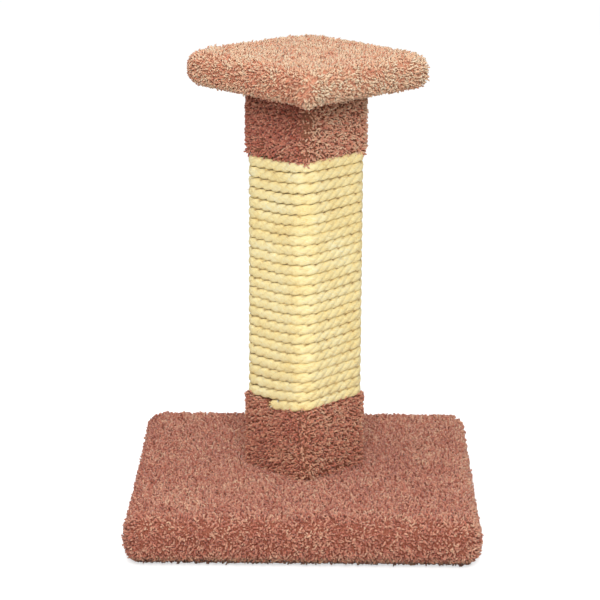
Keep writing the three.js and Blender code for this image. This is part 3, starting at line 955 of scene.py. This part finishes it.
def strand_tree():
    """Sweeps one strand of a rope along its route: it winds round the route's middle once per lay.
    The rows press each other square, and the rope is flatter where it bends round a corner."""
    made, given, identifiers = node_group("strand", "GeometryNodeTree", {
        "Geometry": "Geometry", "Lay": "Float", "Phase": "Float", "Offset": "Float", "Radius": "Float",
        "Sides": "Int", "Squareness": "Float", "Row Height": "Float", "Material": "Material"},
        {"Geometry": "Geometry"})
    gone = stored(made, "gone")
    out = stored(made, "out", "FLOAT_VECTOR")
    curve = Flow(put(made, "GeometryNodeMeshToCurve", {"Mesh": given["Geometry"]}))
    angle = gone / given["Lay"] * (2 * math.pi) + given["Phase"]
    offset = (out * angle.then("COSINE") + joined(made, z=angle.then("SINE"))) * given["Offset"]
    wound = reworked(curve, "SetPosition", {"Offset": offset})
    tangent = Flow(made.nodes.new("GeometryNodeInputTangent")) * 1.8
    path = store(wound, "sway", tangent, "FLOAT_VECTOR")
    ring = Flow(put(made, "GeometryNodeCurvePrimitiveCircle",
                    {"Resolution": given["Sides"], "Radius": given["Radius"]}, mode="RADIUS"))
    spot = Flow(made.nodes.new("GeometryNodeInputPosition")).then("NORMALIZE")
    swept = Flow(put(made, "GeometryNodeCurveToMesh", {
        "Curve": path, "Profile Curve": store(ring, "spot", spot, "FLOAT_VECTOR"), "Fill Caps": True}))
    across, up, _ = split(stored(made, "spot", "FLOAT_VECTOR"))
    marked = store(swept, "lay", joined(made, across, up, gone), "FLOAT_VECTOR")

    place = Flow(made.nodes.new("GeometryNodeInputPosition"))
    from_middle = place - stored(made, "middle", "FLOAT_VECTOR")
    reach = from_middle.then("DOT_PRODUCT", out)
    rise = split(from_middle)[2]
    radius = (reach * reach + rise * rise).then("SQRT")
    aside, above = ((part / radius).then("ABSOLUTE") ** given["Squareness"] for part in (reach, rise))
    fuller = (aside + above) ** (-1.0 / given["Squareness"])
    new_reach = reach * fuller * stored(made, "flattening")
    new_rise = rise * fuller * given["Row Height"]

    full_radius = strand_radius + strand_offset
    # Where a strand sinks against the next row: the mask for the painted shade between the rows.
    at_next_row = between(new_rise.then("ABSOLUTE"), 0.6 * rope_pitch / 2, 0.82 * rope_pitch / 2)
    sunken = between(radius, full_radius - 0.0004, full_radius - 0.001)
    marked = store(marked, "hollow", at_next_row * sunken)
    shift = out * (new_reach - reach) + joined(made, z=new_rise - rise)
    shaped = reworked(marked, "SetPosition", {"Offset": shift})
    coated(reworked(shaped, "SetShadeSmooth"), given["Material"])
    return made, identifiers


sisal, tree, shader = surface("sisal_strand", 0.72, Specular_IOR_Level=0.3, Sheen_Weight=0.15)
streak, groove = twisted(tree, -200.0, 5.5, 70.0, 5.0)
patch = noise(object_place(tree), 0.03, 3.0)
speckle = noise(object_place(tree), 0.0028, 2.0, 0.6)
fibre_shade = streak * 0.7 + patch * 0.35 + speckle * 0.3
strand_colour = ramp(fibre_shade - 0.12, (0.30, 0.42, 0.56, 0.74), shades(
    (228, 190, 116), (246, 219, 147), (255, 236, 172), (255, 247, 204)))
# Points sunk between the rows are painted dark brown in broken dashes: painted shade in the hollows between
# the rows.
shade_dashes = between(noise(object_place(tree), 0.02, 2.0), 0.36, 0.52)
hollow = attribute(tree, "hollow") * shade_dashes
feed(shader, "Base Color", blend(hollow, strand_colour, colour(150, 106, 48)))
bump(shader, streak * 1.2 + groove * 0.15 + speckle * 0.6, 0.0009, 1.0)

strand_nodes = strand_tree()
strands = []
for number in range(3):
    strands.append(finished("rope_strand_%d" % (number + 1), route, *strand_nodes, {
        "Lay": rope_lay, "Phase": 2 * math.pi * number / 3, "Offset": strand_offset,
        "Radius": strand_radius, "Sides": 12, "Squareness": 2.9, "Row Height": 1.08, "Material": sisal}))
forget(route)
carry("sisal", "sisal_rope", *strands)


def hair_shapes():
    """Ten loose sisal fibres, 5 to 14 mm long, each curved its own way."""
    draw = random.Random(5)
    made = []
    for number in range(10):
        length = draw.uniform(0.005, 0.014)
        bow = draw.uniform(-0.35, 0.35) * length
        spine = [Vector((bow * share * share, 0.3 * bow * math.sin(2.4 * share), length * share))
                 for share in (0.0, 0.35, 0.7, 1.0)]
        made.append(spindle("hair_%02d" % number, spine, [0.00018, 0.00016, 0.0001], 3, 0.0))
    return shelf("hairs", made)


hairs = hair_shapes()
loose_fibre, tree, shader = surface("loose_fibre", 0.6, Sheen_Weight=0.2)
feed(shader, "Base Color", ramp(attribute(tree, "tuft"), (0.0, 0.4, 1.0), shades(
    (176, 132, 76), (232, 202, 140), (255, 244, 208))))
for number, strand in enumerate(strands, 1):
    for name, value in (("cover", 0.5), ("rise", 1.0)):
        mark(strand, name, [value] * len(strand.data.vertices))
    carry("sisal", "sisal_rope", grow("rope_fibres_%d" % number, strand, hairs, loose_fibre, Spacing=0.012,
                                      Shuffle=0.9, Nap=0.0, Length_Spread=0.25, Seed=40 + number))

cut_middle = rope_places[0]
cut_radius = 0.0052
cut_way = (rope_places[0] - rope_places[3]).normalized()
cut_up = Vector((0, 0, 1))
cut_across = cut_up.cross(cut_way)
cut_ring = []
for index in range(12):
    angle = 2 * math.pi * index / 12
    cut_ring.append(cut_middle + cut_radius * (math.cos(angle) * cut_across + math.sin(angle) * cut_up))
cut_face = rooted("rope_cut", cut_ring, [tuple(range(12))],
                  lambda point: ((point - cut_middle) * 90, 1.0, 0.4, 0.0))
carry("sisal", "sisal_rope", grow("rope_frayed_end", cut_face, yarns, loose_fibre, Spacing=0.0012,
                                  Shuffle=0.3, Nap=0.0, Length_Spread=0.2, Depth=0.001, Seed=61))
forget(cut_face)


# ---- Upper sleeve ----
# Another strip of the carpet, 78 mm wide, round the head of the post. Its pile hangs a little over
# the rope's last row, and is parted along the front corner.

upper_sleeve_low, upper_sleeve_high = 0.4658, 0.5434


def upper_sleeve_character(place):
    fall = -0.75 * max(0.0, 1 - (place.z - upper_sleeve_low) / 0.010)
    parted = near_front(place, 0.024) * within((place.z - 0.475) / 0.02)
    way = gathered(place, 0.15 - 0.6 * parted) + wound_nap(place, 0.2) + Vector((0, 0, fall))
    return way, 1.0 - 0.65 * parted


# These yarn shades are a paler copy of the lower sleeve's, painted light. Its nap shading, painted light
# and shade, is also stronger.
grown_sleeve("upper_sleeve", upper_sleeve_low, lambda place: upper_sleeve_high,
             upper_sleeve_character, (0.26, 0, 0), shades(
                 (202, 114, 91), (219, 140, 114), (234, 163, 134), (244, 189, 156), (250, 212, 178)), 37)


# ---- Platform board ----
# A square of the same particleboard, 19 mm thick, in line with the post. It is screwed down onto
# the post's head before its carpet goes on.

dress(["top_board"], particleboard)


# ---- Platform carpet ----
# The same carpet, wrapped over the board, folded 45 mm under it all round and stapled there. Its
# pile and backing are painted paler, standing in for brighter light on the platform, and the pile
# fans out at the corners and hangs a little at the front one.

platform_half = 0.11125
platform_edge = 0.019
platform_low, platform_high = 0.5437, 0.5884
platform_middle = (platform_low + platform_high) / 2
set_right = 0.0015
fan_aside = 0.007


def drawn_in(point):
    """The platform's carpet, thinner and drawn in at three corners, hanging at the front one, tilted
    and set a little to the right."""
    place = to_post(point)
    corner = min(abs(place.x), abs(place.y)) / platform_half
    tip = within((corner - 0.62) / 0.3) ** 2
    height = point.z - platform_middle
    if point.y > -abs(point.x):
        height *= 1 - 0.16 * tip
    elif height < 0:
        height *= 1 + 0.14 * tip
    flat = 1 - 0.022 * tip
    height -= 0.01 * point.x
    return Vector((point.x * flat + set_right, point.y * flat, platform_middle + height))


def platform_character(point):
    """The pile lies to one side and hangs at the edges. At the corners it fans out from the tip."""
    place = to_post(point)
    out = max(abs(place.x), abs(place.y))
    corner = min(abs(place.x), abs(place.y)) / platform_half
    droop = max(0.0, (corner - 0.7) / 0.3) ** 2
    beside = Vector((0, point.y, 0)) if abs(point.x) > abs(point.y) else Vector((point.x, 0, 0))
    aside = -fan_aside if point.x > -abs(point.y) else 0.0
    from_tip = beside + Vector((aside, 0, point.z - platform_middle))
    from_tip = from_tip.normalized() * min(from_tip.length * 45, 0.55)
    if place.z < platform_low + seed_inset + 0.001:
        return Vector((0, 0, 0)), 0.8, 0.95 + 0.6 * droop, 0.5
    low = 1 - (place.z - platform_low) / (platform_high - platform_low)
    past_edge = within((out - platform_half + platform_edge) / platform_edge)
    nap = Vector((0, 0, -0.1 - 0.6 * droop * low)) * past_edge
    if abs(place.x) > abs(place.y):
        nap += Vector((-0.4 * (1 - past_edge), 0, 0.4 * past_edge * math.copysign(1, place.x)))
    else:
        nap += Vector((-0.4, 0, 0))
    opened = within((corner - 0.66) / 0.2) * past_edge
    sway = from_post(nap * (1 - opened)) + from_tip * opened
    front = opened if point.y < -abs(point.x) else 0.0
    loose = 0.25 + 0.5 * past_edge + 0.8 * front
    return sway, 1.0 - 0.35 * front, 1.0 + 0.1 * front + 0.4 * droop * low, loose


wrapped_carpet(
    "platform", "top_carpet", (platform_half, 0.0198, platform_edge, platform_low, platform_high),
    "top_board", (0.09845, 0.0070, 0.0032, 0.5565, 0.5756),
    (0.05345, 0, (28, 3, 12), post_turn), drawn_in, platform_character,
    # The platform's backing and yarn shades are paler copies of the carpet's: painted light.
    backing_material("platform_backing", (160, 96, 72), (206, 144, 117), (236, 182, 150)),
    pile_material("platform_pile", (0.2, 0, 0.03), shades(
        (226, 148, 116), (240, 182, 148), (248, 208, 173), (250, 222, 189), (250, 232, 202))),
    (((0, -1, 0), (0, 0, 0)), ((0, 1, 0), (0, 0, 0))), (0.343, 0.07), Clumping=0.8, Seed=53)


# ---- Floor, light and camera ----
# A pale studio floor with soft light from above and in front. The camera stands where it stood for
# the photograph, as fitted to the outline of the post and its boards.

def chosen_by_ray(tree, hidden, seen):
    """One shader for what light does, and another for what the camera sees directly, in a gloss or
    through glass."""
    rays = tree.nodes.new("ShaderNodeLightPath")
    plain = Flow(rays, "Is Camera Ray").then("MAXIMUM", Flow(rays, "Is Glossy Ray"))
    plain = plain.then("MAXIMUM", Flow(rays, "Is Transmission Ray"))
    return Flow(put(tree, "ShaderNodeMixShader", {0: plain, 1: Flow(hidden), 2: Flow(seen)}))


floor_reach, floor_height = 30.0, -0.0005
floor = mesh_object("floor", [(x * floor_reach, y * floor_reach, floor_height)
                              for x, y in ((-1, -1), (1, -1), (1, 1), (-1, 1))], [(0, 1, 2, 3)])
floor_paint = bpy.data.materials.new("floor_paint")
tree = emptied(floor_paint)
pale = (0.75, 0.75, 0.75, 1)
matte = put(tree, "ShaderNodeBsdfDiffuse", {"Color": pale})
glow = put(tree, "ShaderNodeEmission", {"Color": (1, 1, 1, 1), "Strength": 0.64})
lit = put(tree, "ShaderNodeAddShader", {0: Flow(matte), 1: Flow(glow)})
put(tree, "ShaderNodeOutputMaterial", {"Surface": chosen_by_ray(tree, matte, lit)})
floor.data.materials.append(floor_paint)

world = bpy.data.worlds.new("studio")
bpy.context.scene.world = world
tree = emptied(world)
ambient = put(tree, "ShaderNodeBackground", {"Color": (1.0, 0.99, 0.97, 1), "Strength": 0.46})
white = put(tree, "ShaderNodeBackground", {"Color": (1, 1, 1, 1), "Strength": 1.0})
put(tree, "ShaderNodeOutputWorld", {"Surface": chosen_by_ray(tree, ambient, white)})


def lamp(name, size, power, place, target):
    light = bpy.data.lights.new(name, "AREA")
    light.shape = "SQUARE"
    light.size = size
    light.energy = power
    made = placed(name, light)
    made.location = place
    made.rotation_mode = "QUATERNION"
    made.rotation_quaternion = (Vector(target) - Vector(place)).to_track_quat("-Z", "Y")


lamp("overhead", 1.6, 17.0, (-0.2, -0.4, 2.5), (0, 0, 0.3))
lamp("key", 1.1, 70.0, (0.1, -2.9, 2.05), (0, 0, 0.3))

focal_pixels = 2337.74
frame_pixels = 600
camera_place = Vector((0.02537, -2.80287, 1.05289))
yaw, pitch, roll = math.radians(-0.65), math.radians(15.5), math.radians(0.3)
ahead = Vector((math.sin(yaw) * math.cos(pitch), math.cos(yaw) * math.cos(pitch), -math.sin(pitch)))
upright = Vector((math.sin(yaw) * math.sin(pitch), math.cos(yaw) * math.sin(pitch), math.cos(pitch)))
sideways = Vector((math.cos(yaw), -math.sin(yaw), 0))
camera_x = math.cos(roll) * sideways + math.sin(roll) * upright
camera_y = -math.sin(roll) * sideways + math.cos(roll) * upright
camera_data = bpy.data.cameras.new("camera")
camera_data.sensor_width = 36.0
camera_data.lens = focal_pixels / frame_pixels * camera_data.sensor_width
camera = placed("camera", camera_data)
turned = Matrix((camera_x, camera_y, -ahead)).transposed().to_4x4()
camera.matrix_world = Matrix.Translation(camera_place) @ turned
bpy.context.scene.camera = camera
bpy.context.scene.view_settings.view_transform = "Standard"
